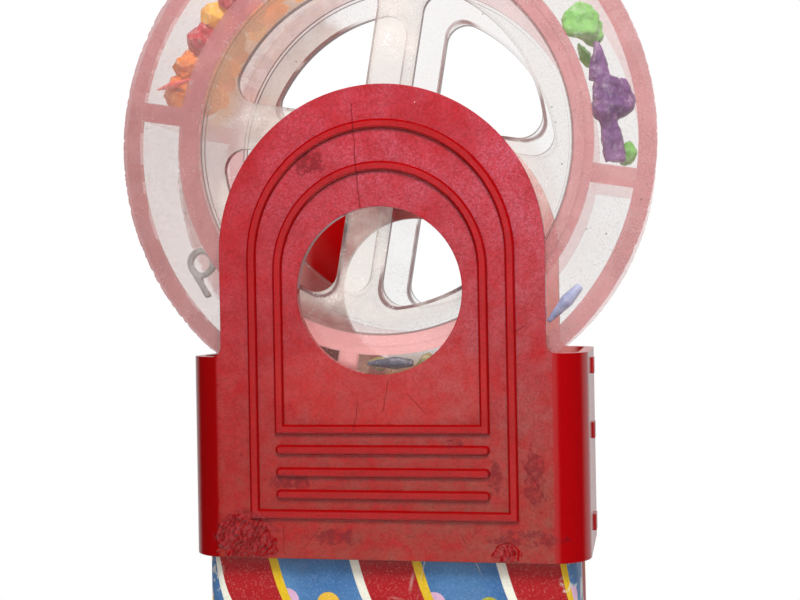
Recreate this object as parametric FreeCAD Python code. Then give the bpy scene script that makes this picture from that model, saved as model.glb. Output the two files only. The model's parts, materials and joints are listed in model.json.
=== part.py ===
import FreeCAD, Part
import math
import os

# Toy gumball machine, in millimetres: a card carton stands on the ground, a red plastic
# yoke of two shells slips over its top, and a clear drum wheel turns between the arches.
# X is to the right, -Y is the front, +Z is up, and the origin is the middle of the foot.

# Carton and sleeve
base_h = 60.0            # ground to the lower edge of the red sleeve
sleeve_w = 74.0          # outer width of the sleeve
sleeve_d = 37.0          # outer depth of the sleeve
sleeve_r = 7.0           # outer radius of its upright corners
sleeve_h = 37.0          # lower edge to shoulder
wall = 1.8               # moulded wall of both shells
shoulder_fillet = 1.7    # where the arch plate runs into the shoulder
carton_gap = 0.6         # slip fit between sleeve and carton, each side
carton_reach = 22.0      # how far the carton stands up inside the sleeve
card_t = 0.9             # carton board
floor_t = 1.4            # folded bottom of the carton, two layers of board
outlet_w = 26.0
outlet_h = 18.0
outlet_z = 6.0           # lower edge of the outlet, where its flap is creased
flap_gap = 0.3           # cut line round the flap
notch_r = 4.0            # thumb notch in the flap
ball_d = 12.0
ball_pitch = 12.3

# Arch plates
arch_h = 56.0            # sleeve edge to the centre of the round arch
window_h = 48.65         # sleeve edge to the centre of the round window
window_r = 15.2
bead_w = 1.75
bead_h = 0.6
bead_round = 0.45
outer_bead_r = 23.8      # centre line of the outer raised frame, radius and half width
outer_bead_arch = 55.05  # sleeve edge to the centre of its round top
outer_bead_foot = 8.1    # sleeve edge to its lower side
inner_bead_r = 18.9
inner_bead_arch = 52.3
inner_bead_foot = 23.6
bar_heights = (11.75, 15.8, 19.9)
bar_half = 19.7

# Seam between the shells
lap_t = 0.85             # tongue on the front shell, part of the wall's thickness
lap_l = 2.4
lap_gap = 0.05
clip_heights = (4.5, 21.8, 34.0)
clip_h = 3.0
clip_w = 2.6
clip_t = 0.5
stop_t = 1.4             # ribs inside the shells that the carton's edge stops against
stop_in = 2.2
stop_h = 4.0
stop_y = 9.0

# Wheel
wheel_h = 75.65          # sleeve edge to the axle
wheel_r = 49.9
wheel_t = 30.0
disc_t = 1.6
rim_t = 3.3
pocket_w = 7.8           # clear width of the compartments, between rim and inner ring
ring_t = 3.7
divider_t = 3.4
spoke_w = 8.55
lip_w = 5.0              # disc left between the openings and the inner ring
opening_round = 4.0
step_t = 0.7             # low step on each disc that the inner ring is set on
step_h = 0.8
glue_gap = 0.05
wheel_turn = -9.8        # how far the wheel is turned in the photo, seen from the front
hub_d = 11.0
axle_d = 4.0
axle_fit = 0.02          # axle in the bosses
axle_run = 0.06          # wheel on the axle
boss_d = 9.0
boss_skin = 0.8          # plastic left in front of the axle's blind hole
side_play = 0.1          # boss to wheel

# Sizes that follow
half_w = sleeve_w / 2
half_d = sleeve_d / 2
arch_r = half_w - sleeve_r
shoulder_z = base_h + sleeve_h
arch_z = base_h + arch_h
window_z = base_h + window_h
axle_z = base_h + wheel_h
carton_w = sleeve_w - 2 * (wall + carton_gap)
carton_d = sleeve_d - 2 * (wall + carton_gap)
carton_r = sleeve_r - wall - carton_gap
carton_top = base_h + carton_reach
half_t = wheel_t / 2
disc_in = half_t - disc_t
rim_ri = wheel_r - rim_t
ring_r = rim_ri - pocket_w
ring_ri = ring_r - ring_t
opening_r = ring_ri - lip_w
pocket_r = ring_r + pocket_w / 2

Y = FreeCAD.Vector(0, 1, 0)
Z = FreeCAD.Vector(0, 0, 1)


def vec(x, y, z):
    return FreeCAD.Vector(x, y, z)


def block(x0, x1, y0, y1, z0, z1):
    return Part.makeBox(x1 - x0, y1 - y0, z1 - z0, vec(x0, y0, z0))


def rod(r, y0, y1, x=0.0, z=0.0):
    """Round bar along Y."""
    return Part.makeCylinder(r, y1 - y0, vec(x, y0, z), Y)


def pipe(ro, ri, y0, y1, z):
    return rod(ro, y0, y1, 0, z).cut(rod(ri, y0 - 1, y1 + 1, 0, z))


def rounded_prism(w, d, r, z0, z1):
    """Upright prism of a rectangle with rounded corners."""
    body = block(-w / 2, w / 2, -d / 2, d / 2, z0, z1)
    upright = [e for e in body.Edges if abs(e.Vertexes[0].Z - e.Vertexes[-1].Z) > 1]
    return body.makeFillet(r, upright)


def front_face(edges):
    """Face from edges that lie in the XZ plane."""
    return Part.Face(Part.Wire(Part.__sortEdges__(edges)))


def line(x0, z0, x1, z1):
    return Part.LineSegment(vec(x0, 0, z0), vec(x1, 0, z1)).toShape()


def arc(p, q, r):
    return Part.Arc(vec(p[0], 0, p[1]), vec(q[0], 0, q[1]), vec(r[0], 0, r[1])).toShape()


def strip_face(half, foot_z, round_z):
    """Upright strip with a flat foot and a half round top."""
    top = arc((half, round_z), (0, round_z + half), (-half, round_z))
    sides = [line(-half, round_z, -half, foot_z), line(half, foot_z, half, round_z)]
    return front_face([top, line(-half, foot_z, half, foot_z)] + sides)


def shell_outline():
    """Front view of a shell: sleeve, shoulders and round arch in one line."""
    f = shoulder_fillet
    s = f * (1 - math.sqrt(0.5))
    z = shoulder_z
    edges = [line(-half_w, base_h, half_w, base_h)]
    edges.append(arc((arch_r, arch_z), (0, arch_z + arch_r), (-arch_r, arch_z)))
    for k in (-1, 1):
        edges.append(line(k * half_w, base_h, k * half_w, z))
        edges.append(line(k * half_w, z, k * (arch_r + f), z))
        mid = (k * (arch_r + s), z + s)
        edges.append(arc((k * (arch_r + f), z), mid, (k * arch_r, z + f)))
        edges.append(line(k * arch_r, z + f, k * arch_r, arch_z))
    return front_face(edges)


def raised(face):
    """Moulded bead of a face's outline, rounded on its outer edges."""
    y = -half_d - bead_h
    solid = face.extrude(vec(0, bead_h + wall / 2, 0))
    solid.translate(vec(0, y, 0))
    outer = [e for e in solid.Edges if max(v.Y for v in e.Vertexes) < y + 0.01]
    return solid.makeFillet(bead_round, outer)


def bead_frame(r, foot, round_h):
    """Closed raised frame, given by its centre line."""
    w = bead_w / 2
    z = base_h + foot
    outline = strip_face(r + w, z - w, base_h + round_h)
    return raised(outline.cut(strip_face(r - w, z + w, base_h + round_h)).Faces[0])


def bead_bar(height):
    """Raised bar with round ends."""
    z = base_h + height
    r = bead_w / 2
    x = bar_half - r
    ends = [arc((k * x, z + r), (k * bar_half, z), (k * x, z - r)) for k in (-1, 1)]
    return raised(front_face(ends + [line(-x, z + r, x, z + r), line(-x, z - r, x, z - r)]))


def plain_shell():
    """Half of the yoke: arch plate and half of the sleeve, with beads, window and boss."""
    top = arch_z + arch_r
    tube = rounded_prism(sleeve_w, sleeve_d, sleeve_r, base_h, top)
    inner = (sleeve_w - 2 * wall, sleeve_d - 2 * wall, sleeve_r - wall)
    tube = tube.cut(rounded_prism(*inner, base_h - 1, top + 1))
    body = shell_outline().extrude(vec(0, half_d, 0))
    body.translate(vec(0, -half_d, 0))
    body = body.common(tube)
    beads = [bead_frame(outer_bead_r, outer_bead_foot, outer_bead_arch)]
    beads.append(bead_frame(inner_bead_r, inner_bead_foot, inner_bead_arch))
    beads += [bead_bar(h) for h in bar_heights]
    boss = rod(boss_d / 2, -half_d + wall / 2, -half_t - side_play, 0, axle_z)
    stops = [stop_rib(k) for k in (-1, 1)]
    body = body.fuse(beads + [boss] + stops)
    body = body.cut(rod(window_r, -half_d - 2, 0, 0, window_z))
    body = body.cut(rod(axle_d / 2 + axle_fit, -half_d + boss_skin, 0, 0, axle_z))
    return body.removeSplitter()


def stop_rib(k):
    """Gusset inside the side wall, with its flat underside on the carton's edge."""
    x = half_w - wall
    pts = [(x + 0.5, 0), (x - stop_in, 0), (x - stop_in, 0.8), (x, stop_h), (x + 0.5, stop_h)]
    wire = Part.makePolygon([vec(k * a, 0, carton_top + b) for a, b in pts + pts[:1]])
    rib = Part.Face(wire).extrude(vec(0, stop_t, 0))
    rib.translate(vec(0, -stop_y - stop_t / 2, 0))
    return rib


def lap(k, grow):
    """Tongue along the side seam, or the rebate that takes it when grown."""
    x0 = half_w - wall - grow
    x1 = half_w - wall + lap_t + grow
    xs = sorted((k * x0, k * x1))
    return block(*xs, -0.5 + 0.5 * (grow > 0), lap_l + grow, base_h + 1 - grow, shoulder_z - 1 + grow)


def seam_clip(k, height):
    """Small tab of the rear shell that laps over the seam."""
    xs = sorted((k * half_w, k * (half_w + clip_t)))
    z = base_h + height
    return block(*xs, -clip_w / 2, clip_w, z - clip_h / 2, z + clip_h / 2)


def make_front_shell():
    return plain_shell().fuse([lap(k, 0) for k in (-1, 1)]).removeSplitter()


def make_rear_shell():
    body = plain_shell().mirror(vec(0, 0, 0), Y)
    body = body.cut(Part.makeCompound([lap(k, lap_gap) for k in (-1, 1)]))
    clips = [seam_clip(k, h) for k in (-1, 1) for h in clip_heights]
    return body.fuse(clips).removeSplitter()


def make_axle():
    y = half_d - boss_skin - 0.1
    pin = rod(axle_d / 2, -y, y, 0, axle_z)
    return pin.makeChamfer(0.4, [e for e in pin.Edges if e.isClosed()])


def turned(shape, angle):
    """Turn about the wheel's axle, anticlockwise seen from the front."""
    return shape.rotated(vec(0, 0, axle_z), vec(0, -1, 0), angle)


def sector_opening(y0, y1):
    """One of the four openings of a disc, with rounded corners."""
    a = spoke_w / 2
    b = math.sqrt(opening_r ** 2 - a ** 2)
    m = opening_r * math.sqrt(0.5)
    edges = [line(a, a, b, a), line(a, a, a, b), arc((b, a), (m, m), (a, b))]
    solid = front_face(edges).extrude(vec(0, y1 - y0, 0))
    upright = [e for e in solid.Edges if abs(e.Vertexes[0].Y - e.Vertexes[-1].Y) > 0.1]
    solid = solid.makeFillet(opening_round, upright)
    solid.translate(vec(0, y0, axle_z))
    return solid


def make_disc(side):
    """Clear face of the wheel; side is -1 for the front and 1 for the rear."""
    ys = sorted((side * disc_in, side * half_t))
    disc = rod(wheel_r, *ys, 0, axle_z)
    ys = sorted((side * (disc_in - step_h), side * (disc_in + 0.4)))
    disc = disc.fuse(pipe(ring_ri - glue_gap, ring_ri - glue_gap - step_t, *ys, axle_z))
    hole = sector_opening(-half_t - 1, half_t + 1)
    cuts = [turned(hole, wheel_turn + 90 * i) for i in range(4)]
    cuts.append(rod(axle_d / 2 + axle_run, -half_t - 1, half_t + 1, 0, axle_z))
    return disc.cut(Part.makeCompound(cuts)).removeSplitter()


def make_dividers():
    zone = pipe(rim_ri - glue_gap, ring_r + glue_gap, -disc_in, disc_in, axle_z)
    bar = block(ring_ri, wheel_r, -disc_in, disc_in, axle_z - divider_t / 2, axle_z + divider_t / 2)
    bar = bar.common(zone)
    return Part.makeCompound([turned(bar, wheel_turn + 90 * i) for i in range(4)])


def polygon(sides, rx, ry, z, turn=0.0):
    pts = []
    for i in range(sides + 1):
        a = math.radians(turn + 360.0 * (i % sides) / sides)
        pts.append(vec(rx * math.cos(a), ry * math.sin(a), z))
    return Part.makePolygon(pts)


def gem(sides, a, b, c, table=0.55):
    """Cut stone: a wide girdle between a flat table and a smaller foot."""
    rings = [polygon(sides, 0.35 * a, 0.35 * b, -c / 2), polygon(sides, a, b, 0.1 * c)]
    rings.append(polygon(sides, table * a, table * b, c / 2))
    return Part.makeLoft(rings, True, True)


def button(r, t, edge):
    """Round flat charm with softened edges, its face to the front."""
    disc = rod(r, -t / 2, t / 2)
    return disc.makeChamfer(edge, [e for e in disc.Edges if e.isClosed()])


def placed(shape, divider, along, out, y, lean=0.0):
    """Set a piece in the wheel, by its distance from a divider, from the ring, and its depth.

    Dividers 0 to 3 are on the right, top, left and bottom, and along is anticlockwise.
    Before it is placed, the piece's X points out from the axle and its Z along the rim."""
    s = shape.copy()
    s.rotate(vec(0, 0, 0), vec(0, -1, 0), lean)
    s.translate(vec(ring_r + out, y, axle_z))
    return turned(s, wheel_turn + 90 * divider + math.degrees(along / pocket_r))


def make_contents():
    """Small plastic charms and stones, loose in the four closed compartments."""
    out = {}
    front = -8.6
    middle = -1.6
    rear = 5.2
    orange = [placed(gem(6, 3.0, 3.0, 5.4), 2, -5.2, 4.0, front, 8)]
    orange.append(placed(gem(5, 2.9, 3.0, 5.0), 2, -10.9, 3.9, front, 20))
    orange.append(placed(gem(6, 2.8, 3.0, 5.4), 2, -18.6, 3.2, middle, -12))
    orange.append(placed(gem(5, 2.8, 3.0, 5.2), 2, -24.8, 3.2, middle, 10))
    orange.append(placed(gem(6, 2.8, 3.0, 5.4), 2, -6.2, 3.2, rear, -16))
    orange.append(placed(gem(5, 2.8, 3.0, 5.2), 2, -12.6, 3.2, rear, 10))
    orange.append(placed(gem(6, 2.8, 3.0, 5.4), 2, -26.0, 3.2, rear, 5))
    out["orange_stones"] = orange
    red = [placed(gem(7, 2.9, 3.0, 5.2), 2, -16.4, 3.5, front, 5)]
    red.append(placed(gem(6, 2.7, 3.0, 5.0), 2, -26.9, 3.4, front, 15))
    red.append(placed(gem(6, 2.6, 3.0, 5.2), 2, -6.0, 3.1, middle, 0))
    red.append(placed(gem(6, 2.6, 3.0, 5.2), 2, -19.3, 3.1, rear, 0))
    out["red_stones"] = red
    yellow = [placed(gem(4, 2.8, 3.0, 4.2, 0.7), 2, -21.7, 4.0, front, 12)]
    yellow.append(placed(gem(4, 2.7, 2.8, 4.4, 0.7), 2, -12.2, 3.1, middle, 25))
    out["yellow_stones"] = yellow
    sliver = gem(8, 0.7, 0.9, 7.2, 0.2)
    out["pink_sliver"] = [placed(sliver, 2, -6.2, 3.7, -12.35, -58)]
    green = [placed(button(3.5, 5.0, 0.8), 0, 29.9, 3.75, -9.4)]
    green.append(placed(gem(8, 1.2, 2.0, 8.0, 0.6), 0, 24.2, 1.7, -2.0, 6))
    out["light_green_beads"] = green
    out["dark_green_bead"] = [placed(button(1.5, 3.6, 0.4), 0, 4.0, 5.4, -5.4)]
    body = button(3.1, 5.4, 0.7)
    body.translate(vec(0, 0, 13.0))
    head = Part.makeCone(2.3, 0.8, 7.2, vec(-1.0, 0, 15.6))
    legs = [block(x, x + 1.7, -1.6, 1.6, 0.2, 11.0) for x in (-2.6, -0.6)]
    charm = body.fuse([head] + legs).removeSplitter()
    charm.translate(vec(0, 0, -8.0))
    out["purple_charm"] = [placed(charm, 0, 10.6, 3.4, -9.6, 3.0)]
    hoop = rod(2.9, -0.8, 0.8).cut(rod(1.7, -1, 1))
    hook = block(1.5, 2.7, -0.7, 0.7, 0.5, 6.5)
    out["grey_ring_charm"] = [placed(hoop.fuse(hook).removeSplitter(), 2, 29.4, 3.5, -9.0)]
    baton = gem(8, 1.3, 1.5, 8.8, 0.6)
    blue = [placed(baton, 0, -24.4, 5.5, -8.4, 0), placed(baton, 3, 7.6, 1.7, -10.2, 0)]
    out["blue_batons"] = blue
    bead = gem(6, 1.6, 1.8, 3.6, 0.8)
    olive = [placed(bead, 3, 4.0, 2.1, -6.2, 0), placed(bead, 3, 14.4, 2.2, -10.4, 15)]
    out["olive_beads"] = olive
    return out


def make_carton_wall():
    tube = rounded_prism(carton_w, carton_d, carton_r, 0, carton_top)
    inner = (carton_w - 2 * card_t, carton_d - 2 * card_t, carton_r - card_t)
    tube = tube.cut(rounded_prism(*inner, -1, carton_top + 1))
    hole = block(-outlet_w / 2, outlet_w / 2, -half_d, 0, outlet_z, outlet_z + outlet_h)
    return tube.cut(hole)


def make_carton_floor():
    w = carton_w - 2 * card_t - 0.1
    d = carton_d - 2 * card_t - 0.1
    return rounded_prism(w, d, carton_r - card_t, 0, floor_t)


def make_flap():
    """Card flap in the carton's front, creased along its lower edge."""
    x = outlet_w / 2 - flap_gap
    z1 = outlet_z + outlet_h - flap_gap
    flap = block(-x, x, -carton_d / 2, -carton_d / 2 + card_t, outlet_z + 0.02, z1)
    return flap.cut(rod(notch_r, -half_d, 0, 0, z1))


def make_gumballs():
    """Loose gumballs on the carton's floor, in a row behind the outlet."""
    r = ball_d / 2
    y = -carton_d / 2 + card_t + r + 0.5
    spots = [i * ball_pitch for i in (-0.5, 0.5)]
    return [Part.makeSphere(r, vec(x, y, floor_t + r + 0.02)) for x in spots]


nodes = {
    "carton_wall": make_carton_wall(),
    "carton_floor": make_carton_floor(),
    "outlet_flap": make_flap(),
    "gumballs": Part.makeCompound(make_gumballs()),
    "front_shell": make_front_shell(),
    "rear_shell": make_rear_shell(),
    "axle": make_axle(),
    "wheel_front_disc": make_disc(-1),
    "wheel_rear_disc": make_disc(1),
    "outer_rim": pipe(wheel_r, rim_ri, -disc_in, disc_in, axle_z),
    "inner_ring": pipe(ring_r, ring_ri, -disc_in, disc_in, axle_z),
    "dividers": make_dividers(),
    "hub_tube": pipe(hub_d / 2, axle_d / 2 + axle_run, -disc_in, disc_in, axle_z),
}
for name, pieces in make_contents().items():
    nodes[name] = Part.makeCompound(pieces)

os.makedirs("parts", exist_ok=True)
for name, shape in nodes.items():
    shape.exportStep("parts/" + name + ".step")
    print(name, len(shape.Solids), round(shape.Volume), shape.isValid())
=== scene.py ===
import json
import math

import bpy
from mathutils import Matrix, Vector, noise

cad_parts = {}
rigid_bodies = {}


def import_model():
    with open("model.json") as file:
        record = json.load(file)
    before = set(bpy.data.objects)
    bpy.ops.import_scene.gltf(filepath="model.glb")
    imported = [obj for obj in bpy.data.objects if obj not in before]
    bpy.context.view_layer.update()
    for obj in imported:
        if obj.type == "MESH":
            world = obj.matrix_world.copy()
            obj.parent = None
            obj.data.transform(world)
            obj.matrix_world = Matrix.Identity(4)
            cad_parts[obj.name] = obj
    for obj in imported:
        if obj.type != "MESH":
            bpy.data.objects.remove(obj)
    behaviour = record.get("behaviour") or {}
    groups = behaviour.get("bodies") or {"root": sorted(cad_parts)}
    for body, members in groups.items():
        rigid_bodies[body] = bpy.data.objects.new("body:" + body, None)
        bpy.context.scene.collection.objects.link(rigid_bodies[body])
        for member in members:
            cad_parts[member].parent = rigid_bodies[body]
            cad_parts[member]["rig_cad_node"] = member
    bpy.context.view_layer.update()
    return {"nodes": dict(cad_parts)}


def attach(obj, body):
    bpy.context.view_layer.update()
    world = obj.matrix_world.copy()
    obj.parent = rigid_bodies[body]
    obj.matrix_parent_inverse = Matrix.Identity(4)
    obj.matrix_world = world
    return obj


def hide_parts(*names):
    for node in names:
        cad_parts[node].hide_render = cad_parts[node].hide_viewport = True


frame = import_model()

nodes = frame["nodes"]

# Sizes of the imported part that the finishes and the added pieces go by, in mm
AXLE_Z = 135.65
WHEEL_TURN = math.radians(-9.8)
WHEEL_R = 49.9
RIM_IN = 46.6            # inside of the outer rim
RING_OUT = 38.8          # outside of the inner ring
RING_IN = 35.1           # inside of the inner ring
PARTING_R = 37.25        # fine line along the middle of the ring
DIVIDER_HALF = 1.7
SPOKE_HALF = 4.275
OPENING_R = 30.1         # outer edge of the discs' openings
OPENING_ROUND = 4        # their corners
SLEEVE_FOOT = 60.0       # lower edge of the red sleeve
CARTON_HALF_W = 34.6
CARTON_HALF_D = 16.1


# ---------------------------------------------------------------- shader words

class Shade:
    """A shader socket with arithmetic: an expression on it adds Math nodes to its own tree."""

    def __init__(self, tree, socket=None):
        self.tree = tree
        self.socket = socket

    def node(self, kind, settings=None, sockets=None, out=0):
        """Adds one node: its settings first, then its sockets, and gives back one of its outputs."""
        made = self.tree.nodes.new("ShaderNode" + kind)
        for name, value in (settings or {}).items():
            if name == "stops":
                stops = made.color_ramp.elements
                while len(stops) < len(value):
                    stops.new(0.5)
                for stop, (place, colour) in zip(stops, value):
                    stop.position = place
                    stop.color = colour
            elif name == "blend":
                made.color_ramp.interpolation = value
            else:
                setattr(made, name, value)
        for name, value in (sockets or {}).items():
            if isinstance(value, Shade):
                self.tree.links.new(value.socket, made.inputs[name])
            else:
                made.inputs[name].default_value = value
        return None if out is None else Shade(self.tree, made.outputs[out])

    def math(self, operation, *values):
        return self.node("Math", {"operation": operation}, dict(enumerate(values)))

    def __add__(self, other):
        return self.math("ADD", self, other)

    def __radd__(self, other):
        return self.math("ADD", other, self)

    def __sub__(self, other):
        return self.math("SUBTRACT", self, other)

    def __rsub__(self, other):
        return self.math("SUBTRACT", other, self)

    def __mul__(self, other):
        return self.math("MULTIPLY", self, other)

    def __rmul__(self, other):
        return self.math("MULTIPLY", other, self)

    def __truediv__(self, other):
        return self.math("DIVIDE", self, other)

    def __pow__(self, other):
        return self.math("POWER", self, other)

    def __abs__(self):
        return self.math("ABSOLUTE", self)

    def most(self, other):
        return self.math("MAXIMUM", self, other)

    def least(self, other):
        return self.math("MINIMUM", self, other)

    def rise(self, low, high):
        """0 below low, 1 above high, soft between."""
        return self.node("MapRange", {"interpolation_type": "SMOOTHSTEP"},
                         {"Value": self, "From Min": low, "From Max": high})

    def fall(self, low, high):
        return 1 - self.rise(low, high)

    def spread(self):
        """Cloudy noise, spread over 0 to 1."""
        return self.rise(0.3, 0.7)

    def mix(self, low, high):
        """Between two colours, by this value."""
        return self.node("Mix", {"data_type": "RGBA", "clamp_factor": True}, {0: self, 6: low, 7: high}, 2)

    def part(self, axis):
        return self.node("SeparateXYZ", None, {0: self}, axis)

    def scaled(self, x, y, z):
        return self.node("VectorMath", {"operation": "MULTIPLY"}, {0: self, 1: (x, y, z)})

    def noise(self, size, detail=2.0, roughness=0.5):
        """Cloudy noise on this place in mm, with clouds of about this size in mm."""
        return self.node("TexNoise", None, {"Vector": self, "Scale": 1 / size, "Detail": detail,
                                            "Roughness": roughness})

    def cells(self, size, scatter=1.0, out="Distance", feature="F1"):
        return self.node("TexVoronoi", {"feature": feature},
                         {"Vector": self, "Scale": 1 / size, "Randomness": scatter}, out)

    def specks(self, size, radius, share):
        """Small dots of this radius in mm, on this share of cells of this size in mm."""
        near = self.cells(size).fall(radius / size * 0.6, radius / size)
        picked = self.cells(size, out="Color").part("X")
        return near * picked.fall(share - 0.01, share)


def rgb(red, green, blue):
    """A colour as a picture gives it, from 0 to 255."""
    level = [v / 255 for v in (red, green, blue)]
    return tuple(v / 12.92 if v <= 0.04045 else ((v + 0.055) / 1.055) ** 2.4 for v in level) + (1.0,)


class Place:
    """Where a surface point is: in mm, with its parts and the way that it faces."""

    def __init__(self, tree):
        coords = tree.node("TexCoord", None, None, "Object")
        facing = tree.node("TexCoord", None, None, "Normal")
        self.at = coords.scaled(1000, 1000, 1000)
        self.x = self.at.part("X")
        self.y = self.at.part("Y")
        self.z = self.at.part("Z")
        self.ny = facing.part("Y")
        self.nz = facing.part("Z")

    def blot(self, x, z, half_x, half_z, ragged=0.8, size=3.0):
        """A patch with a ragged edge on the front or back face."""
        reach = ((self.x - x) / half_x) ** 2 + ((self.z - z) / half_z) ** 2
        return (reach + (self.at.noise(size, 3) - 0.5) * ragged * 2).fall(0.6, 1.1)

    def stroke(self, x0, z0, x1, z1, width, sway=0.0):
        """A thin line between two points of the front or back face."""
        along_x, along_z = x1 - x0, z1 - z0
        length = along_x ** 2 + along_z ** 2
        share = ((self.x - x0) * along_x + (self.z - z0) * along_z) / length
        share = share.most(0).least(1)
        off_x = self.x - x0 - share * along_x
        off_z = self.z - z0 - share * along_z
        if sway:
            off_x = off_x + (self.at.noise(2.2, 2) - 0.5) * sway
        return ((off_x ** 2 + off_z ** 2) ** 0.5).fall(width * 0.4, width)

    def many(self, mark, marks):
        """Several blots or strokes together, 1 at most."""
        total = mark(*marks[0])
        for values in marks[1:]:
            total = total + mark(*values)
        return total.least(1)


def start(name):
    """A new material and the root of its nodes."""
    material = bpy.data.materials.new(name)
    material.use_nodes = True
    material.node_tree.nodes.clear()
    return material, Shade(material.node_tree)


def close(tree, sockets):
    """Ends a material in one shader with these values and links."""
    surface = tree.node("BsdfPrincipled", None, sockets, "BSDF")
    tree.node("OutputMaterial", None, {"Surface": surface}, None)


def bump(tree, height, depth_mm, under=None):
    """A normal from a height of 0 to 1 that is worth this depth."""
    sockets = {"Height": height, "Strength": 1.0, "Distance": depth_mm / 1000}
    if under:
        sockets["Normal"] = under
    return tree.node("Bump", None, sockets, "Normal")


# ---------------------------------------------------------------- finishes

def red_moulding():
    """Glossy red moulding: dust and a painted sheen on its flats, worn and scratched on the front."""
    material, tree = start("red_moulding")
    p = Place(tree)
    flat = abs(p.ny).rise(0.985, 0.999) * abs(p.y).rise(16.9, 17.6)
    crown = abs(p.y).rise(18.7, 18.95)
    front = p.y.fall(-17.5, -16.5)
    height = p.z.rise(64, 140)
    cloud = p.at.noise(9, 4, 0.6)
    film = p.at.noise(3.2, 4, 0.65)
    grain = p.at.cells(0.34, out="Color").part("X")
    spark = p.at.cells(0.30, out="Color").part("Y").rise(0.3, 1.0)
    body = cloud.spread().mix(rgb(174, 0, 4), rgb(187, 0, 9))
    # the corners and beads are a deeper red, with painted light making the right corner lighter than the left
    body = flat.mix(p.x.rise(20, 34).mix(rgb(156, 0, 3), rgb(178, 0, 8)), body)
    # the flats' dusty film is browner towards the bottom; a painted lilac sheen with painted sparkle lies over
    # the upper part, and the whole is painted stronger on the right, where the light falls
    dust_and_sheen_colour = height.mix(rgb(126, 105, 87), rgb(225, 131, 157))
    veil = height.node("MapRange", None, {"Value": height, "To Min": 0.40, "To Max": 0.10})
    sheen = p.at.noise(13, 3, 0.55).rise(0.38, 0.66) * height
    dust_and_sheen = veil * film.rise(0.2, 0.8) + (0.05 + sheen * 0.22) * (0.45 + spark * 0.8)
    dust_and_sheen = flat * (1 - crown * 0.85) * dust_and_sheen * (0.75 + p.x.rise(-30, 30) * 0.55)
    colour = dust_and_sheen.mix(body, dust_and_sheen_colour)
    colour = (grain.fall(0.1, 0.6) * flat * 0.34).mix(colour, rgb(129, 0, 7))
    # painted light: the inside of the rear plate is painted pale pink round its window, where it lies in
    # shade, paler towards the top
    from_middle = (p.x ** 2 + (p.z - 116).most(0) ** 2) ** 0.5
    rear_painted_light = p.y.rise(12, 14) * p.ny.fall(-0.9, -0.6) * p.z.rise(82, 84) * from_middle.rise(21, 27)
    rear_painted_light = rear_painted_light * (0.35 + film * 0.3 + p.z.rise(106, 132) * 0.4)
    colour = rear_painted_light.mix(colour, rgb(255, 192, 187))
    glow = p.blot(0, 92, 22, 9, 0.5, 9.0) * flat * front
    colour = (glow * 0.12).mix(colour, rgb(255, 72, 61))
    smudge = front * p.many(p.blot, [
        (27.5, 75, 1.9, 6.5, 1.5, 1.6), (-12.5, 132, 3.2, 2.4, 1.4, 1.8), (25, 64.4, 8, 1.6, 1.5, 2.0),
        (13, 81, 2, 0.9, 1.5, 1.2), (-9, 64, 5, 1.6, 1.6, 2.0), (-18, 74, 4, 1.6, 1.6, 1.6),
        (20.5, 75, 1.6, 3.0, 1.5, 1.4)])
    smudge = smudge * p.at.noise(0.9, 4, 0.7).rise(0.36, 0.56)
    colour = (smudge * 0.75).mix(colour, rgb(122, 15, 26))
    # darker specks over the zone round the bars
    bar_zone_specks = p.blot(0, 73, 29, 11, 0.6, 4.0) * p.at.noise(0.8, 4, 0.7).rise(0.55, 0.7) * flat * front
    colour = (bar_zone_specks * 0.4).mix(colour, rgb(107, 20, 24))
    # the two melted patches at the foot are bare of the dust and the painted sheen
    melt = p.blot(-25.9, 64.6, 6.2, 4.5, 0.7, 1.7) * front
    melt_colour = p.at.noise(0.8, 3).rise(0.35, 0.65).mix(rgb(128, 5, 12), rgb(172, 46, 50))
    colour = (melt * 0.8).mix(colour, melt_colour)
    scar = p.blot(22.4, 61.4, 2.3, 1.3, 0.8, 1.2) * front
    scar_colour = p.at.noise(0.7, 2).rise(0.4, 0.6).mix(rgb(136, 4, 12), rgb(172, 50, 52))
    colour = (scar * 0.7).mix(colour, scar_colour)
    crack = p.stroke(-4.4, 142.6, -3.3, 123.6, 0.13, 0.8) * front
    lines = front * p.many(p.stroke, [
        (-11.8, 137.2, -8.2, 135.6, 0.1, 1.0), (5, 90, 8.2, 86.5, 0.08, 0.6),
        (-4.2, 88.5, -5.0, 83.5, 0.07, 0.5), (1.6, 92.4, 0.4, 86.8, 0.08, 0.5),
        (-11, 66.5, -14.6, 62.0, 0.08, 0.8), (-18.5, 66.3, -18.5, 61.0, 0.07, 0.3),
        (25.2, 78.4, 29.6, 71.0, 0.08, 0.9), (24.4, 100.9, 26.6, 102.1, 0.09, 0.4),
        (14.2, 64.9, 15.2, 63.2, 0.1, 0.4)])
    colour = (crack * 0.45 + lines * 0.5).least(1).mix(colour, rgb(92, 2, 11))
    dots = p.at.specks(4.4, 0.2, 0.4) * abs(p.ny).rise(0.9, 0.99)
    colour = (dots * 0.75).mix(colour, rgb(72, 7, 11))
    chips = p.at.specks(6.4, 0.15, 0.3)
    colour = (chips * 0.7 * flat).mix(colour, rgb(255, 225, 225))
    rough = 0.13 + flat * 0.16 + grain * 0.06 + melt * 0.12 + smudge * 0.05
    relief = grain * 0.16 * flat + p.at.noise(1.4, 3) * 0.10 - crack * 0.8 - lines * 0.5
    soft = tree.node("Bevel", {"samples": 4}, {"Radius": 0.00025}, "Normal")
    close(tree, {"Base Color": colour, "Roughness": rough, "IOR": 1.5, "Specular IOR Level": 0.5,
                 "Normal": bump(tree, relief, 0.12, soft)})
    return material


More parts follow.
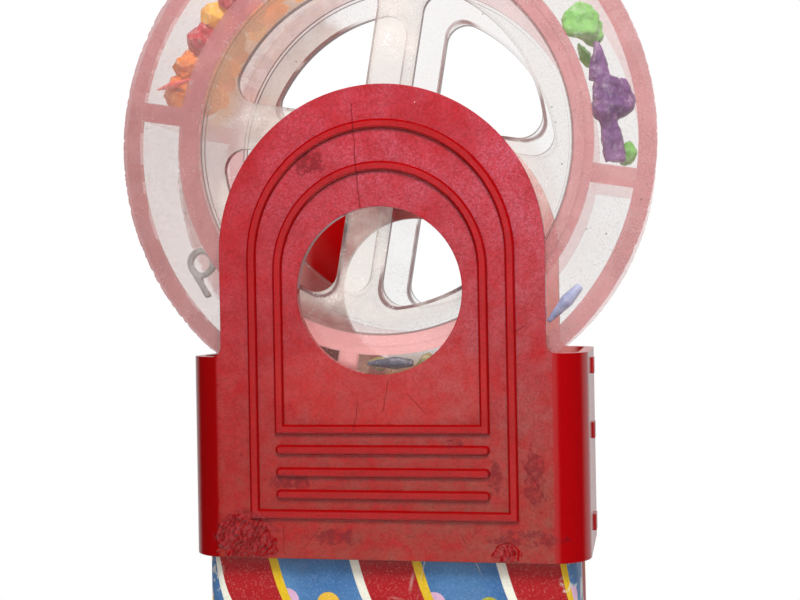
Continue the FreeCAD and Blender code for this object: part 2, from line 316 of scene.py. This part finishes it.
class Wheel:
    """Where a point of the wheel is: its radius, the walls that stand there and the edges of the openings."""

    def __init__(self, p):
        cos, sin = math.cos(WHEEL_TURN), math.sin(WHEEL_TURN)
        up = p.z - AXLE_Z
        along = p.x * cos + up * sin
        across = up * cos - p.x * sin
        self.radius = (p.x ** 2 + up ** 2) ** 0.5
        rim = self.radius.rise(RIM_IN - 0.1, RIM_IN + 0.05)
        ring = (self.radius.rise(RING_IN - 0.1, RING_IN + 0.05)
                * self.radius.fall(RING_OUT - 0.05, RING_OUT + 0.1))
        bars = (abs(along).least(abs(across)).fall(DIVIDER_HALF - 0.05, DIVIDER_HALF + 0.1)
                * self.radius.rise(RING_OUT - 0.1, RING_OUT + 0.05))
        self.wall = rim.most(ring).most(bars)
        # the ring's inner edge shows as a dark line, and a fine parting line runs along its middle
        edge = (self.radius.rise(RING_IN - 0.35, RING_IN - 0.2)
                * self.radius.fall(RING_IN + 0.05, RING_IN + 0.2))
        parting = (self.radius.rise(PARTING_R - 0.15, PARTING_R - 0.05)
                   * self.radius.fall(PARTING_R + 0.05, PARTING_R + 0.15))
        self.line = edge + parting * 0.35
        # how far inside one of the four openings a point is, with their corners rounded
        depths = (abs(along) - SPOKE_HALF, abs(across) - SPOKE_HALF, OPENING_R - self.radius)
        inward = [(OPENING_ROUND - depth).most(0) ** 2 for depth in depths]
        inside = OPENING_ROUND - (inward[0] + inward[1] + inward[2]) ** 0.5
        self.lip = inside.rise(-0.66, -0.52) * inside.fall(-0.1, 0.1) * p.ny.fall(-0.7, -0.3)
        # which side of its opening a point lies on
        middle = 12.5
        along_way, across_way = (side.math("SIGN", side) for side in (along, across))
        right = p.x - middle * (along_way * cos - across_way * sin)
        above = up - middle * (along_way * sin + across_way * cos)
        self.left_side = above * 0.3 - right
        self.lower_side = right * 0.3 - above
        # the rubbed outer edge is nibbled by up to a fifth of a millimetre
        nibble = p.at.noise(0.9, 2).rise(0.42, 0.7) * 0.2
        self.kept = (self.radius + nibble).fall(WHEEL_R - 0.04, WHEEL_R + 0.02)


def clear_sheet():
    """Clear, dusty moulded disc: greyish, pink where a wall stands behind it, mauve on its cut edges."""
    material, tree = start("clear_sheet")
    p = Place(tree)
    wheel = Wheel(p)
    face = abs(p.ny).spread()
    cut = (1 - face) * wheel.radius.fall(48, 49)
    cloud = p.at.noise(8, 4, 0.6)
    dust = p.at.noise(0.4, 2).rise(0.52, 0.75)
    rear = p.y.rise(-1, 1)
    # painted shade: the left of the wheel is painted darker and a little more opaque, less so at its top
    dim = p.x.fall(-46, -6) * (1 - p.z.rise(138, 160) * 0.5)
    # a pale dusty haze over the middle of the front disc, made paler as painted light where the front shell
    # shades it, less of it towards the top
    haze = (wheel.radius + p.z.rise(124, 138) * 6).fall(31.5, 35)
    haze = (1 - rear) * haze * (0.35 + cloud.spread() * 0.65)
    colour = cloud.spread().mix(rgb(144, 131, 120), rgb(187, 174, 168))
    colour = (dim * 0.5).mix(colour, rgb(133, 118, 109))
    colour = haze.mix(colour, rgb(179, 168, 161))
    # sugar dust of the stones on the upper left, and sweepings at the drum's foot
    stain = p.blot(-26, 155, 15, 17, 0.6, 5.0) * wheel.radius.rise(27, 30)
    stain = stain * wheel.radius.fall(RING_IN - 0.4, RING_IN) * (1 - rear * 0.3) * face
    foot = p.z.fall(93, 99) * (1 - wheel.wall) * rear * face * p.x.rise(-16, -8)
    colour = (stain * 0.8).mix(colour, rgb(178, 132, 100))
    colour = foot.mix(colour, rgb(186, 158, 120))
    streak = p.at.noise(1.3, 3).rise(0.55, 0.72)
    pink = cloud.spread().mix(rgb(170, 109, 110), rgb(190, 129, 128))
    pink = (streak * 0.4).mix(pink, rgb(153, 92, 94))
    pink = (dim * 0.4).mix(pink, rgb(148, 96, 92))
    # painted light: the ring low in the window is painted pale, as if brightly lit
    ring_painted_light = p.z.fall(97, 112) * wheel.radius.fall(40, 42)
    pink = (ring_painted_light * 0.5).mix(pink, rgb(246, 183, 179))
    chips = p.at.specks(2.6, 0.2, 0.03) * wheel.wall
    pink = (chips * 0.6).mix(pink, rgb(255, 255, 255))
    colour = (wheel.wall * face).mix(colour, pink)
    flash = rear * wheel.left_side.rise(3, 7) + (1 - rear) * wheel.lower_side.rise(4, 8)
    lip = wheel.lip * face * (0.12 + flash * p.at.noise(7, 2).rise(0.25, 0.5) * 0.88)
    lip = lip.most(wheel.line * face * (1 - rear) * (0.3 + p.x.rise(-22, 8) * 0.5))
    colour = cut.most(lip).mix(colour, rgb(126, 89, 87))
    glint = dust * p.at.noise(5, 3).rise(0.5, 0.7) * face * (1 - wheel.wall * 0.8) * (1 - stain)
    colour = (glint * 0.8).mix(colour, rgb(255, 253, 255))
    specks = p.at.specks(3.6, 0.22, 0.4) * face
    colour = specks.mix(colour, rgb(63, 55, 52))
    alpha = 0.06 + dim * 0.18 + haze * 0.38 + cloud.rise(0.3, 0.75) * 0.06 + dust * 0.06
    alpha = alpha + glint * 0.22 + specks * 0.6 + stain * (0.22 + cloud * 0.3) + foot * 0.5
    alpha = alpha + wheel.wall * face * (0.52 + dim * 0.12 - rear * 0.42)
    alpha = alpha + chips * 0.3 + cut * 0.75 + lip * 0.62
    alpha = alpha.least(0.94) * (wheel.kept + (1 - face) * 0.12 * wheel.radius.rise(48, 49)).least(1)
    # painted glow: the sheet glows by its own emission, so its middle stays pale in the shade
    sheet_painted_glow = wheel.wall.mix(rgb(70, 66, 64), ring_painted_light.mix(rgb(92, 62, 62), rgb(190, 142, 138)))
    sheet_painted_glow = haze.mix(sheet_painted_glow, rgb(218, 208, 199))
    sheet_painted_glow = (stain * 0.8).mix(sheet_painted_glow, rgb(92, 66, 48))
    sheet_painted_glow = foot.mix(sheet_painted_glow, rgb(124, 104, 80))
    sheet_painted_glow = cut.most(lip).mix(sheet_painted_glow, rgb(44, 30, 30))
    close(tree, {"Base Color": colour, "Alpha": alpha, "Roughness": 0.12 + dust * 0.2, "IOR": 1.55,
                 "Emission Color": sheet_painted_glow, "Emission Strength": 0.55, "Specular IOR Level": 0.8,
                 "Normal": bump(tree, p.at.noise(1.1, 3), 0.03)})
    return material


def pink_wall():
    """Clear plastic wall with a faint pink tint, deeper where it is seen on edge."""
    material, tree = start("pink_wall")
    p = Place(tree)
    wheel = Wheel(p)
    edge = abs(p.ny).rise(0.35, 0.75)
    cloud = p.at.noise(6, 4, 0.6)
    colour = cloud.spread().mix(rgb(190, 120, 120), rgb(209, 142, 140))
    colour = edge.mix(rgb(246, 196, 194), colour)
    streak = p.at.scaled(1.0, 0.15, 1.0).noise(1.0, 3).rise(0.58, 0.7)
    colour = (streak * 0.35).mix(colour, rgb(214, 140, 142))
    # the stones' dust clings to the inside of the ring on the upper left
    amber = p.blot(-24, 159, 15, 16, 0.8, 4.0) * (1 - edge)
    amber = amber * wheel.radius.fall(RING_IN + 0.2, RING_IN + 0.9)
    amber_colour = p.at.noise(3.5, 3).rise(0.35, 0.65).mix(rgb(186, 112, 74), rgb(232, 172, 92))
    colour = (amber * 0.9).mix(colour, amber_colour)
    specks = p.at.specks(5.1, 0.2, 0.25)
    colour = (specks * 0.7).mix(colour, rgb(87, 57, 57))
    alpha = 0.12 + edge * 0.22 * p.y.fall(-1, 1) + cloud.rise(0.35, 0.75) * 0.05 + streak * 0.06
    alpha = alpha * (wheel.kept + (1 - edge)).least(1)
    alpha = alpha * wheel.radius.fall(WHEEL_R - 0.3, WHEEL_R - 0.1).most(0.6)
    alpha = alpha + amber * (0.06 + cloud * 0.22)
    # painted glow: the wall glows faintly by its own emission
    close(tree, {"Base Color": colour, "Alpha": alpha, "Roughness": 0.16 + cloud * 0.1, "IOR": 1.55,
                 "Emission Color": colour, "Emission Strength": 0.2, "Specular IOR Level": 0.9,
                 "Normal": bump(tree, p.at.noise(1.6, 3), 0.05)})
    return material


def candy_plastic(name, pale, deep, glow=0.1, left=None):
    """Cheap cast plastic: streaky and cloudy, with another colour for the left piece where one is given."""
    material, tree = start(name)
    p = Place(tree)
    cloud = p.at.noise(2.6, 4, 0.6).spread()
    streak = p.at.noise(1.2, 3).rise(0.5, 0.75)
    colour = cloud.mix(deep, pale)
    if left:
        colour = p.x.fall(12, 20).mix(colour, left)
    colour = (streak * 0.22).mix(colour, rgb(255, 255, 251))
    colour = (p.at.specks(1.9, 0.13, 0.3) * 0.6).mix(colour, rgb(65, 44, 44))
    close(tree, {"Base Color": colour, "Roughness": 0.22 + cloud * 0.16, "IOR": 1.5,
                 "Coat Weight": 0.25 * cloud, "Emission Color": colour, "Emission Strength": glow,
                 "Normal": bump(tree, p.at.noise(0.9, 3), 0.12)})
    return material


def drawn_steel():
    """Drawn steel rod with fine lines round it and a grey film."""
    material, tree = start("drawn_steel")
    p = Place(tree)
    lines = p.at.scaled(1.0, 12.0, 1.0).noise(1.0, 3)
    colour = lines.spread().mix(rgb(164, 164, 168), rgb(214, 214, 216))
    close(tree, {"Base Color": colour, "Metallic": 1.0, "Roughness": 0.28 + lines * 0.2,
                 "Normal": bump(tree, lines, 0.02)})
    return material


def printed_card():
    """Printed carton board: generic streamers and dots outside, grey board inside, creased and worn."""
    material, tree = start("printed_card")
    p = Place(tree)
    side = p.x.math("SIGN", p.x)
    # how far along the board a point lies from the middle of the front; the board's ends meet behind
    behind = p.y.rise(-0.01, 0.01)
    across = side * (abs(p.x) + behind * (2 * CARTON_HALF_W - abs(p.x) * 2) + p.y + CARTON_HALF_D)
    sheet = tree.node("CombineXYZ", None, {0: across, 1: p.z, 2: 0.0})
    ground = p.at.noise(14, 3).spread().mix(rgb(63, 113, 170), rgb(92, 144, 196))
    palette = [(0.0, rgb(249, 198, 63)), (0.22, rgb(242, 172, 72)), (0.4, rgb(233, 187, 218)),
               (0.58, rgb(164, 214, 198)), (0.74, rgb(255, 252, 235)), (0.88, rgb(187, 183, 48))]
    spot_at = sheet.node("VectorMath", {"operation": "ADD"}, {0: sheet, 1: (2.0, 3.4, 0.0)})
    spot_pitch = 9.0
    spot_sockets = {"Vector": spot_at, "Scale": 1 / spot_pitch, "Randomness": 0.35}
    spot_near, spot_tint = (spot_at.node("TexVoronoi", {"voronoi_dimensions": "2D"}, spot_sockets, out)
                            for out in ("Distance", "Color"))
    spot_pick = spot_tint.part("X")
    spot_colour = spot_pick.node("ValToRGB", {"blend": "CONSTANT", "stops": palette}, {"Fac": spot_pick})
    colour = spot_near.fall(0.235, 0.25).mix(ground, spot_colour)
    # streamers lean across the face, each a red band with a cream and a yellow edge
    pitch = 27.0
    wave = p.z.math("SINE", p.z * 0.16) * 2.2
    lean = (across + p.z * 0.62 + wave + 4.0) / pitch
    turn = lean - lean.math("FLOOR", lean) - 0.5
    band = abs(turn) * pitch
    edge_colour = turn.rise(-0.01, 0.01).mix(rgb(255, 252, 235), rgb(246, 203, 24))
    colour = band.fall(6.6, 6.75).mix(colour, edge_colour)
    colour = band.fall(4.9, 5.05).mix(colour, rgb(183, 15, 24))
    # print grain, worn corners, creases, dirt and a painted shadow
    grain = p.at.noise(0.28, 2)
    colour = (grain.rise(0.52, 0.8) * 0.14).mix(colour, rgb(255, 255, 246))
    colour = (grain.fall(0.22, 0.46) * 0.28).mix(colour, rgb(44, 55, 65))
    crease_at = p.at.scaled(1.0, 1.0, 0.55)
    crease = crease_at.cells(9.0, 1.0, "Distance", "DISTANCE_TO_EDGE").fall(0.004, 0.02)
    crease = crease * p.at.noise(11, 3).rise(0.52, 0.68)
    corner = (abs(p.x).rise(30.4, 32.4) * abs(p.y).rise(11.4, 14.2)) * p.at.noise(1.6, 4).rise(0.5, 0.62)
    colour = (crease * 0.6 + corner * 0.65).least(1).mix(colour, rgb(246, 238, 222))
    # dirt in clouds, and a painted shadow in a band along the sleeve's foot
    band_top = SLEEVE_FOOT + 0.5
    sleeve_shadow_band = p.z.rise(band_top - 3, band_top) * p.z.fall(band_top, band_top + 1.5)
    dirt_and_shadow = p.at.noise(10, 4, 0.6).rise(0.5, 0.85) * 0.35 + sleeve_shadow_band * 0.3
    colour = dirt_and_shadow.mix(colour, rgb(100, 89, 81))
    outside = (abs(p.y).rise(CARTON_HALF_D - 0.5, CARTON_HALF_D - 0.3)
               + abs(p.x).rise(CARTON_HALF_W - 0.5, CARTON_HALF_W - 0.3)
               + (abs(p.x).rise(29, 30) * abs(p.y).rise(10.5, 11.5))).least(1)
    outside = outside * abs(p.nz).fall(0.3, 0.6)
    board = p.at.noise(0.5, 3).mix(rgb(164, 153, 137), rgb(214, 203, 185))
    colour = outside.mix(board, colour)
    relief = p.at.noise(0.35, 2) * 0.12 + p.at.noise(6, 3) * 0.9 - crease * 0.9
    close(tree, {"Base Color": colour, "Roughness": 0.42 + grain * 0.2 + crease * 0.2, "IOR": 1.48,
                 "Specular IOR Level": 0.4, "Normal": bump(tree, relief, 0.14)})
    return material


def grey_board():
    """Plain grey carton board with fibres."""
    material, tree = start("grey_board")
    p = Place(tree)
    fibre = p.at.scaled(1.0, 0.25, 1.0).noise(0.5, 3)
    cloud = p.at.noise(8, 3)
    colour = fibre.rise(0.3, 0.75).mix(rgb(159, 146, 131), rgb(211, 201, 183))
    colour = (cloud.rise(0.5, 0.8) * 0.4).mix(colour, rgb(131, 118, 105))
    close(tree, {"Base Color": colour, "Roughness": 0.75 + fibre * 0.15, "Normal": bump(tree, fibre, 0.08)})
    return material


def sugar_shell():
    """Shiny sugar shell of a gumball: one yellow, one red, with faint pits."""
    material, tree = start("sugar_shell")
    p = Place(tree)
    pits = p.at.noise(0.6, 3)
    cloud = p.at.noise(4, 3)
    yellow = cloud.spread().mix(rgb(246, 183, 22), rgb(255, 214, 52))
    red = cloud.spread().mix(rgb(207, 26, 37), rgb(231, 52, 57))
    colour = p.x.rise(-0.1, 0.1).mix(yellow, red)
    colour = (pits.rise(0.6, 0.8) * 0.25).mix(colour, rgb(255, 255, 255))
    close(tree, {"Base Color": colour, "Roughness": 0.2 + pits * 0.2, "Coat Weight": cloud * 0.4,
                 "Normal": bump(tree, pits, 0.05)})
    return material


def floor_paint():
    """Pale floor that keeps the shadow and fades out at its rim."""
    material, tree = start("pale_floor")
    p = Place(tree)
    radius = (p.x ** 2 + p.y ** 2) ** 0.5
    tone = p.at.noise(3, 3).mix(rgb(244, 244, 243), rgb(250, 250, 250))
    close(tree, {"Base Color": tone, "Roughness": 0.9, "Specular IOR Level": 0.0,
                 "Alpha": radius.fall(120, 172)})
    return material


# ---------------------------------------------------------------- dressing the nodes

def dress(name, material):
    """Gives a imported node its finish."""
    held = nodes[name].data.materials
    held.clear()
    held.append(material)


red = red_moulding()
for finish, names in (
        (red, ("front_shell", "rear_shell")),
        (clear_sheet(), ("wheel_front_disc", "wheel_rear_disc")),
        (pink_wall(), ("outer_rim", "inner_ring", "dividers", "hub_tube")),
        (drawn_steel(), ("axle",)),
        (printed_card(), ("carton_wall", "outlet_flap")),
        (grey_board(), ("carton_floor",)),
        (sugar_shell(), ("gumballs",))):
    for name in names:
        dress(name, finish)
for name in ("wheel_front_disc", "wheel_rear_disc", "outer_rim", "inner_ring", "dividers"):
    nodes[name].visible_shadow = False      # thin clear plastic throws next to none

# the pale and the deep colour of each kind of filling
charms = {
    "orange_stones": (rgb(246, 146, 57), rgb(225, 105, 39)),
    "red_stones": (rgb(209, 72, 83), rgb(174, 37, 55)),
    "yellow_stones": (rgb(255, 201, 76), rgb(242, 164, 52)),
    "pink_sliver": (rgb(255, 126, 113), rgb(235, 81, 78)),
    "light_green_beads": (rgb(137, 196, 107), rgb(111, 172, 85)),
    "dark_green_bead": (rgb(113, 170, 100), rgb(83, 140, 76)),
    "purple_charm": (rgb(135, 92, 142), rgb(100, 63, 113)),
    "grey_ring_charm": (rgb(166, 166, 164), rgb(131, 130, 129)),
    "blue_batons": (rgb(187, 203, 238), rgb(146, 164, 207)),
    "olive_beads": (rgb(164, 159, 92), rgb(122, 120, 68)),
}
left_pieces = {"blue_batons": rgb(84, 92, 110)}
finishes = {name: candy_plastic(name, pale, deep, left=left_pieces.get(name))
            for name, (pale, deep) in charms.items()}
dress("pink_sliver", finishes["pink_sliver"])


# ---------------------------------------------------------------- charms and stones

def work_copy(name):
    """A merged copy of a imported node, to be worked on in its place."""
    bpy.ops.object.select_all(action="DESELECT")
    nodes[name].select_set(True)
    bpy.context.view_layer.objects.active = nodes[name]
    bpy.ops.object.duplicate()
    piece = bpy.context.object
    piece.name = "cast_" + name
    del piece["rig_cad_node"]
    bpy.ops.object.mode_set(mode="EDIT")
    bpy.ops.mesh.select_all(action="SELECT")
    bpy.ops.mesh.remove_doubles(threshold=0.000002)
    bpy.ops.object.mode_set(mode="OBJECT")
    piece.data.materials.clear()
    piece.data.materials.append(finishes[name])
    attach(piece, "wheel")
    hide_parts(name)
    return piece


def work(piece, kind, **settings):
    """Adds one modifier and applies it."""
    made = piece.modifiers.new(kind.lower(), kind)
    for name, value in settings.items():
        setattr(made, name, value)
    bpy.context.view_layer.objects.active = piece
    bpy.ops.object.modifier_apply(modifier=made.name)


def lumps(name, kind, size_mm):
    """A solid noise for displacing, with lumps of about this size."""
    solid = bpy.data.textures.new(name, kind)
    solid.noise_scale = size_mm / 1000
    return solid


def cast_charm(name, lump_mm, lump_high_mm, lobes=(), rounds=8):
    """A charm as cheap casting leaves it: lobes that flow into it, soft edges, faces a little uneven."""
    piece = work_copy(name)
    for place, half in lobes:
        bpy.ops.mesh.primitive_ico_sphere_add(subdivisions=3, radius=0.001, location=Vector(place) / 1000)
        lobe = bpy.context.object
        lobe.scale = half
        bpy.ops.object.transform_apply(location=True, rotation=True, scale=True)
        piece.select_set(True)
        bpy.context.view_layer.objects.active = piece
        bpy.ops.object.join()
    work(piece, "REMESH", mode="VOXEL", voxel_size=0.00024)
    work(piece, "SMOOTH", factor=0.5, iterations=rounds)
    work(piece, "DISPLACE", texture=lumps(name, "CLOUDS", lump_mm), strength=lump_high_mm / 1000,
         mid_level=0.58, texture_coords="GLOBAL")
    bpy.ops.object.shade_smooth()


def rough_stones(name, size_mm):
    """Stones with broken faces, a little fuller than their plain solids."""
    piece = work_copy(name)
    work(piece, "REMESH", mode="VOXEL", voxel_size=0.0004)
    work(piece, "DISPLACE", texture=lumps(name + "_large", "VORONOI", size_mm), strength=0.0011, mid_level=0.2,
         texture_coords="GLOBAL")
    work(piece, "DISPLACE", texture=lumps(name + "_small", "CLOUDS", 0.9), strength=0.0005, mid_level=0.4,
         texture_coords="GLOBAL")
    work(piece, "DECIMATE", ratio=0.07)
    bpy.ops.object.shade_flat()


cast_charm("light_green_beads", lump_mm=5.0, lump_high_mm=3.2,
           lobes=[((38.8, -8.0, 155.2), (2.6, 2.0, 3.2)), ((44.6, -6.0, 133.2), (1.8, 2.0, 2.5))])
cast_charm("dark_green_bead", lump_mm=3.4, lump_high_mm=1.6)
cast_charm("purple_charm", lump_mm=3.4, lump_high_mm=1.6, rounds=20,
           lobes=[((43.2, -9.6, 142.8), (3.0, 2.8, 3.9)), ((40.7, -9.8, 141.4), (2.4, 2.7, 3.8))])
cast_charm("grey_ring_charm", lump_mm=1.8, lump_high_mm=0.4)
cast_charm("blue_batons", lump_mm=3.0, lump_high_mm=0.12)
cast_charm("olive_beads", lump_mm=1.8, lump_high_mm=0.5)
rough_stones("orange_stones", size_mm=2.6)
rough_stones("red_stones", size_mm=2.2)
rough_stones("yellow_stones", size_mm=2.8)


def crumb(angle, out, depth, size, lean):
    """One broken crumb, an icosphere cut by four planes.

    It lies at this angle in degrees round the axle, so many mm out from the ring and along the axle.
    """
    turn = math.radians(angle)
    size = size / 1000
    reach = (RING_OUT + out) / 1000
    place = Vector((reach * math.cos(turn), depth / 1000, AXLE_Z / 1000 + reach * math.sin(turn)))
    bpy.ops.object.select_all(action="DESELECT")
    bpy.ops.mesh.primitive_ico_sphere_add(subdivisions=2, radius=size, location=place,
                                          rotation=(lean, 1.7 * lean, 0.6 * lean))
    piece = bpy.context.object
    bpy.ops.object.transform_apply(location=True, rotation=True, scale=True)
    bpy.ops.object.mode_set(mode="EDIT")
    for step in range(4):
        tilt = lean + 1.9 * step
        way = Vector((math.cos(tilt), math.sin(1.3 * tilt), math.sin(tilt))).normalized()
        bpy.ops.mesh.select_all(action="SELECT")
        bpy.ops.mesh.bisect(plane_co=place + way * size * 0.55, plane_no=way, use_fill=True, clear_outer=True)
    bpy.ops.object.mode_set(mode="OBJECT")
    return piece


def strew(name, slot, spots):
    """A few crumbs of one colour, joined into one piece of the wheel's filling."""
    made = [crumb(*spot) for spot in spots]
    bpy.ops.object.select_all(action="DESELECT")
    for piece in made:
        piece.select_set(True)
    bpy.context.view_layer.objects.active = made[0]
    bpy.ops.object.join()
    heap = bpy.context.object
    heap.name = name
    pale, deep = charms[slot]
    heap.data.materials.append(candy_plastic(name, pale, deep, glow=0.7))
    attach(heap, "wheel")


strew("orange_crumbs", "orange_stones", [
    (160.0, 2.5, 10.0, 2.4, 0.3), (151.5, 2.4, 10.4, 2.4, 1.1), (141.0, 2.5, -5.0, 2.2, 2.0),
    (134.0, 2.5, 10.2, 2.5, 2.9), (125.0, 2.6, 4.0, 2.6, 3.6), (119.0, 2.5, -3.0, 2.4, 4.4),
    (113.0, 2.5, 6.0, 2.5, 5.1), (107.0, 2.4, 0.0, 2.4, 0.8), (129.5, 2.5, 10.0, 2.5, 1.7),
    (117.0, 2.6, 10.2, 2.6, 2.4), (109.5, 2.5, 10.0, 2.5, 3.1), (103.0, 2.4, 7.0, 2.4, 4.7)])
strew("red_crumbs", "red_stones", [
    (155.5, 2.3, 9.6, 2.2, 0.7), (146.5, 2.3, 10.0, 2.2, 1.5), (128.0, 2.2, -4.5, 2.0, 2.3),
    (116.0, 2.3, 1.0, 2.2, 3.3)])
strew("yellow_crumbs", "yellow_stones", [
    (138.5, 2.3, 10.4, 2.3, 2.6), (121.5, 2.3, 9.4, 2.3, 3.9), (143.0, 5.4, 9.0, 2.0, 1.3)])


# ---------------------------------------------------------------- melted skin of the front shell

def melted_skin(name, middle, half, high_mm, fold_mm):
    """Skin drawn into steep folds by heat: a fine grid laid on the front shell, folded most in its middle."""
    pitch = 0.889               # of the folds, in the grid's own units
    unit = fold_mm / pitch / 1000
    spare = 1.15                # the grid reaches past the patch, which is cut out of it
    cell_mm = 0.1
    before_y = -0.0195          # just before the raised frames
    steep = math.radians(70)
    frame_x, frame_z = -25.2, 66.7      # the raised frame's lower left corner, which stays as moulded
    fade_mm = 0.5
    reach = max(half) * spare / 1000 / unit
    cells = round(max(half) * 2 * spare / cell_mm)
    bpy.ops.object.select_all(action="DESELECT")
    bpy.ops.mesh.primitive_grid_add(x_subdivisions=cells, y_subdivisions=cells, size=2 * reach,
                                    location=(middle[0] / 1000, before_y, middle[1] / 1000),
                                    rotation=(math.pi / 2, steep, 0))
    skin = bpy.context.object
    skin.name = name
    skin.scale = (unit, unit, unit)
    bpy.context.view_layer.update()
    folded = skin.vertex_groups.new(name="folded")
    bpy.ops.object.mode_set(mode="EDIT")
    bpy.ops.mesh.select_all(action="DESELECT")
    bpy.ops.object.mode_set(mode="OBJECT")
    for point in skin.data.vertices:
        at = skin.matrix_world @ point.co * 1000
        away = ((at.x - middle[0]) / half[0]) ** 2 + ((at.z - middle[1]) / half[1]) ** 2
        ragged = away + 0.8 * noise.noise(at / 3.0) + 0.3 * noise.noise(at)
        over_frame = min(at.x - frame_x, at.z - frame_z)
        share = min(1.0, max(0.0, min((0.9 - ragged) / 0.3, 1.0 - over_frame / fade_mm)))
        folded.add([point.index], share, "REPLACE")
        point.select = share < 0.06 or at.z < SLEEVE_FOOT + 0.2
    bpy.ops.object.mode_set(mode="EDIT")
    for change in [bpy.ops.mesh.select_more] * 3 + [bpy.ops.mesh.select_less] * 3:
        change()                # takes thin necks and islands along
    bpy.ops.mesh.delete(type="VERT")
    bpy.ops.object.mode_set(mode="OBJECT")
    work(skin, "SHRINKWRAP", target=nodes["front_shell"], wrap_method="PROJECT", use_project_z=True,
         use_negative_direction=True, use_positive_direction=False)
    folds = lumps(name, "MARBLE", 2400.0)       # 2.4 of the grid's own units
    folds.turbulence = 17.0
    work(skin, "DISPLACE", texture=folds, strength=high_mm / 1000 / unit, mid_level=0.0,
         vertex_group="folded", texture_coords="LOCAL")
    bpy.ops.object.transform_apply(location=True, rotation=True, scale=True)
    work(skin, "DISPLACE", texture=lumps(name + "_swell", "CLOUDS", 1.6), strength=high_mm * 1.2 / 1000,
         mid_level=0.4, vertex_group="folded", texture_coords="GLOBAL")
    work(skin, "SMOOTH", factor=0.5, iterations=1)
    work(skin, "SOLIDIFY", thickness=0.0003, offset=-1.0)
    bpy.ops.object.shade_smooth()
    skin.data.materials.append(red)
    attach(skin, "yoke")


melted_skin("melted_corner", middle=(-26.1, 63.6), half=(6.6, 4.5), high_mm=0.34, fold_mm=0.95)
melted_skin("melted_edge", middle=(22.4, 61.7), half=(2.9, 1.8), high_mm=0.2, fold_mm=1.9)


# ---------------------------------------------------------------- stage, light and camera

def lay_floor():
    """A round floor that takes the shadow, just under the carton."""
    bpy.ops.object.select_all(action="DESELECT")
    bpy.ops.mesh.primitive_circle_add(vertices=96, radius=0.175, fill_type="NGON", location=(0, 0, -0.0003))
    floor = bpy.context.object
    floor.name = "pale_floor"
    floor.data.materials.append(floor_paint())


def hang_lamp(name, place, aim, watts, size):
    """One soft square lamp, which shows in no reflection."""
    lamp = bpy.data.lights.new(name, "AREA")
    lamp.energy = watts
    lamp.size = size
    holder = bpy.data.objects.new(name, lamp)
    holder.location = place
    holder.rotation_euler = (Vector(aim) - Vector(place)).to_track_quat("-Z", "Y").to_euler()
    holder.visible_glossy = False
    bpy.context.scene.collection.objects.link(holder)


def light_studio():
    """A white surround, dim to the sides in reflections, and three soft lamps."""
    world = bpy.data.worlds.new("studio")
    bpy.context.scene.world = world
    world.use_nodes = True
    world.node_tree.nodes.clear()
    tree = Shade(world.node_tree)
    seen = tree.node("LightPath", None, None, "Is Camera Ray")
    through = tree.node("LightPath", None, None, "Is Transmission Ray")
    gloss = tree.node("LightPath", None, None, "Is Glossy Ray")
    depth = tree.node("TexCoord", None, None, "Generated").part("Y")
    behind = depth.rise(0.25, 0.6) * 0.64
    before = (0 - depth).rise(0.85, 0.93) * 0.85
    surround = 0.02 + behind.most(before) * 0.98
    plain = 0.3                 # what the surround lights matt surfaces with
    open_white = seen.most(through)
    strength = plain + gloss * (surround - plain)
    strength = strength + open_white * (1 - strength)
    sky = tree.node("Background", None, {"Color": (1.0, 1.0, 1.0, 1.0), "Strength": strength})
    tree.node("OutputWorld", None, {"Surface": sky}, None)
    hang_lamp("key", (0.06, -0.22, 0.36), (0.0, 0.0, 0.12), watts=1.15, size=0.12)
    hang_lamp("fill", (-0.45, -0.5, 0.25), (0.0, 0.0, 0.1), watts=0.25, size=0.4)
    hang_lamp("back", (0.1, 0.5, 0.4), (0.0, 0.0, 0.1), watts=1.4, size=0.4)


def set_camera():
    """The camera of the photograph, fitted to the arch, the window and the sleeve."""
    lens = bpy.data.cameras.new("photo_camera")
    lens.sensor_width = 36.0
    lens.lens = 57.35
    lens.clip_start = 0.01
    lens.clip_end = 10.0
    camera = bpy.data.objects.new("photo_camera", lens)
    right = Vector((0.981505, 0.190626, -0.017600))
    up = Vector((0.017673, 0.001320, 0.999843))
    back = Vector((0.190620, -0.981662, -0.002073))
    turn = Matrix((right, up, back)).transposed()
    camera.matrix_world = Matrix.Translation((0.047626, -0.243416, 0.106420)) @ turn.to_4x4()
    bpy.context.scene.collection.objects.link(camera)
    bpy.context.scene.camera = camera


lay_floor()
light_studio()
set_camera()
bpy.context.scene.view_settings.view_transform = "Standard"
bpy.context.scene.cycles.transparent_max_bounces = 64
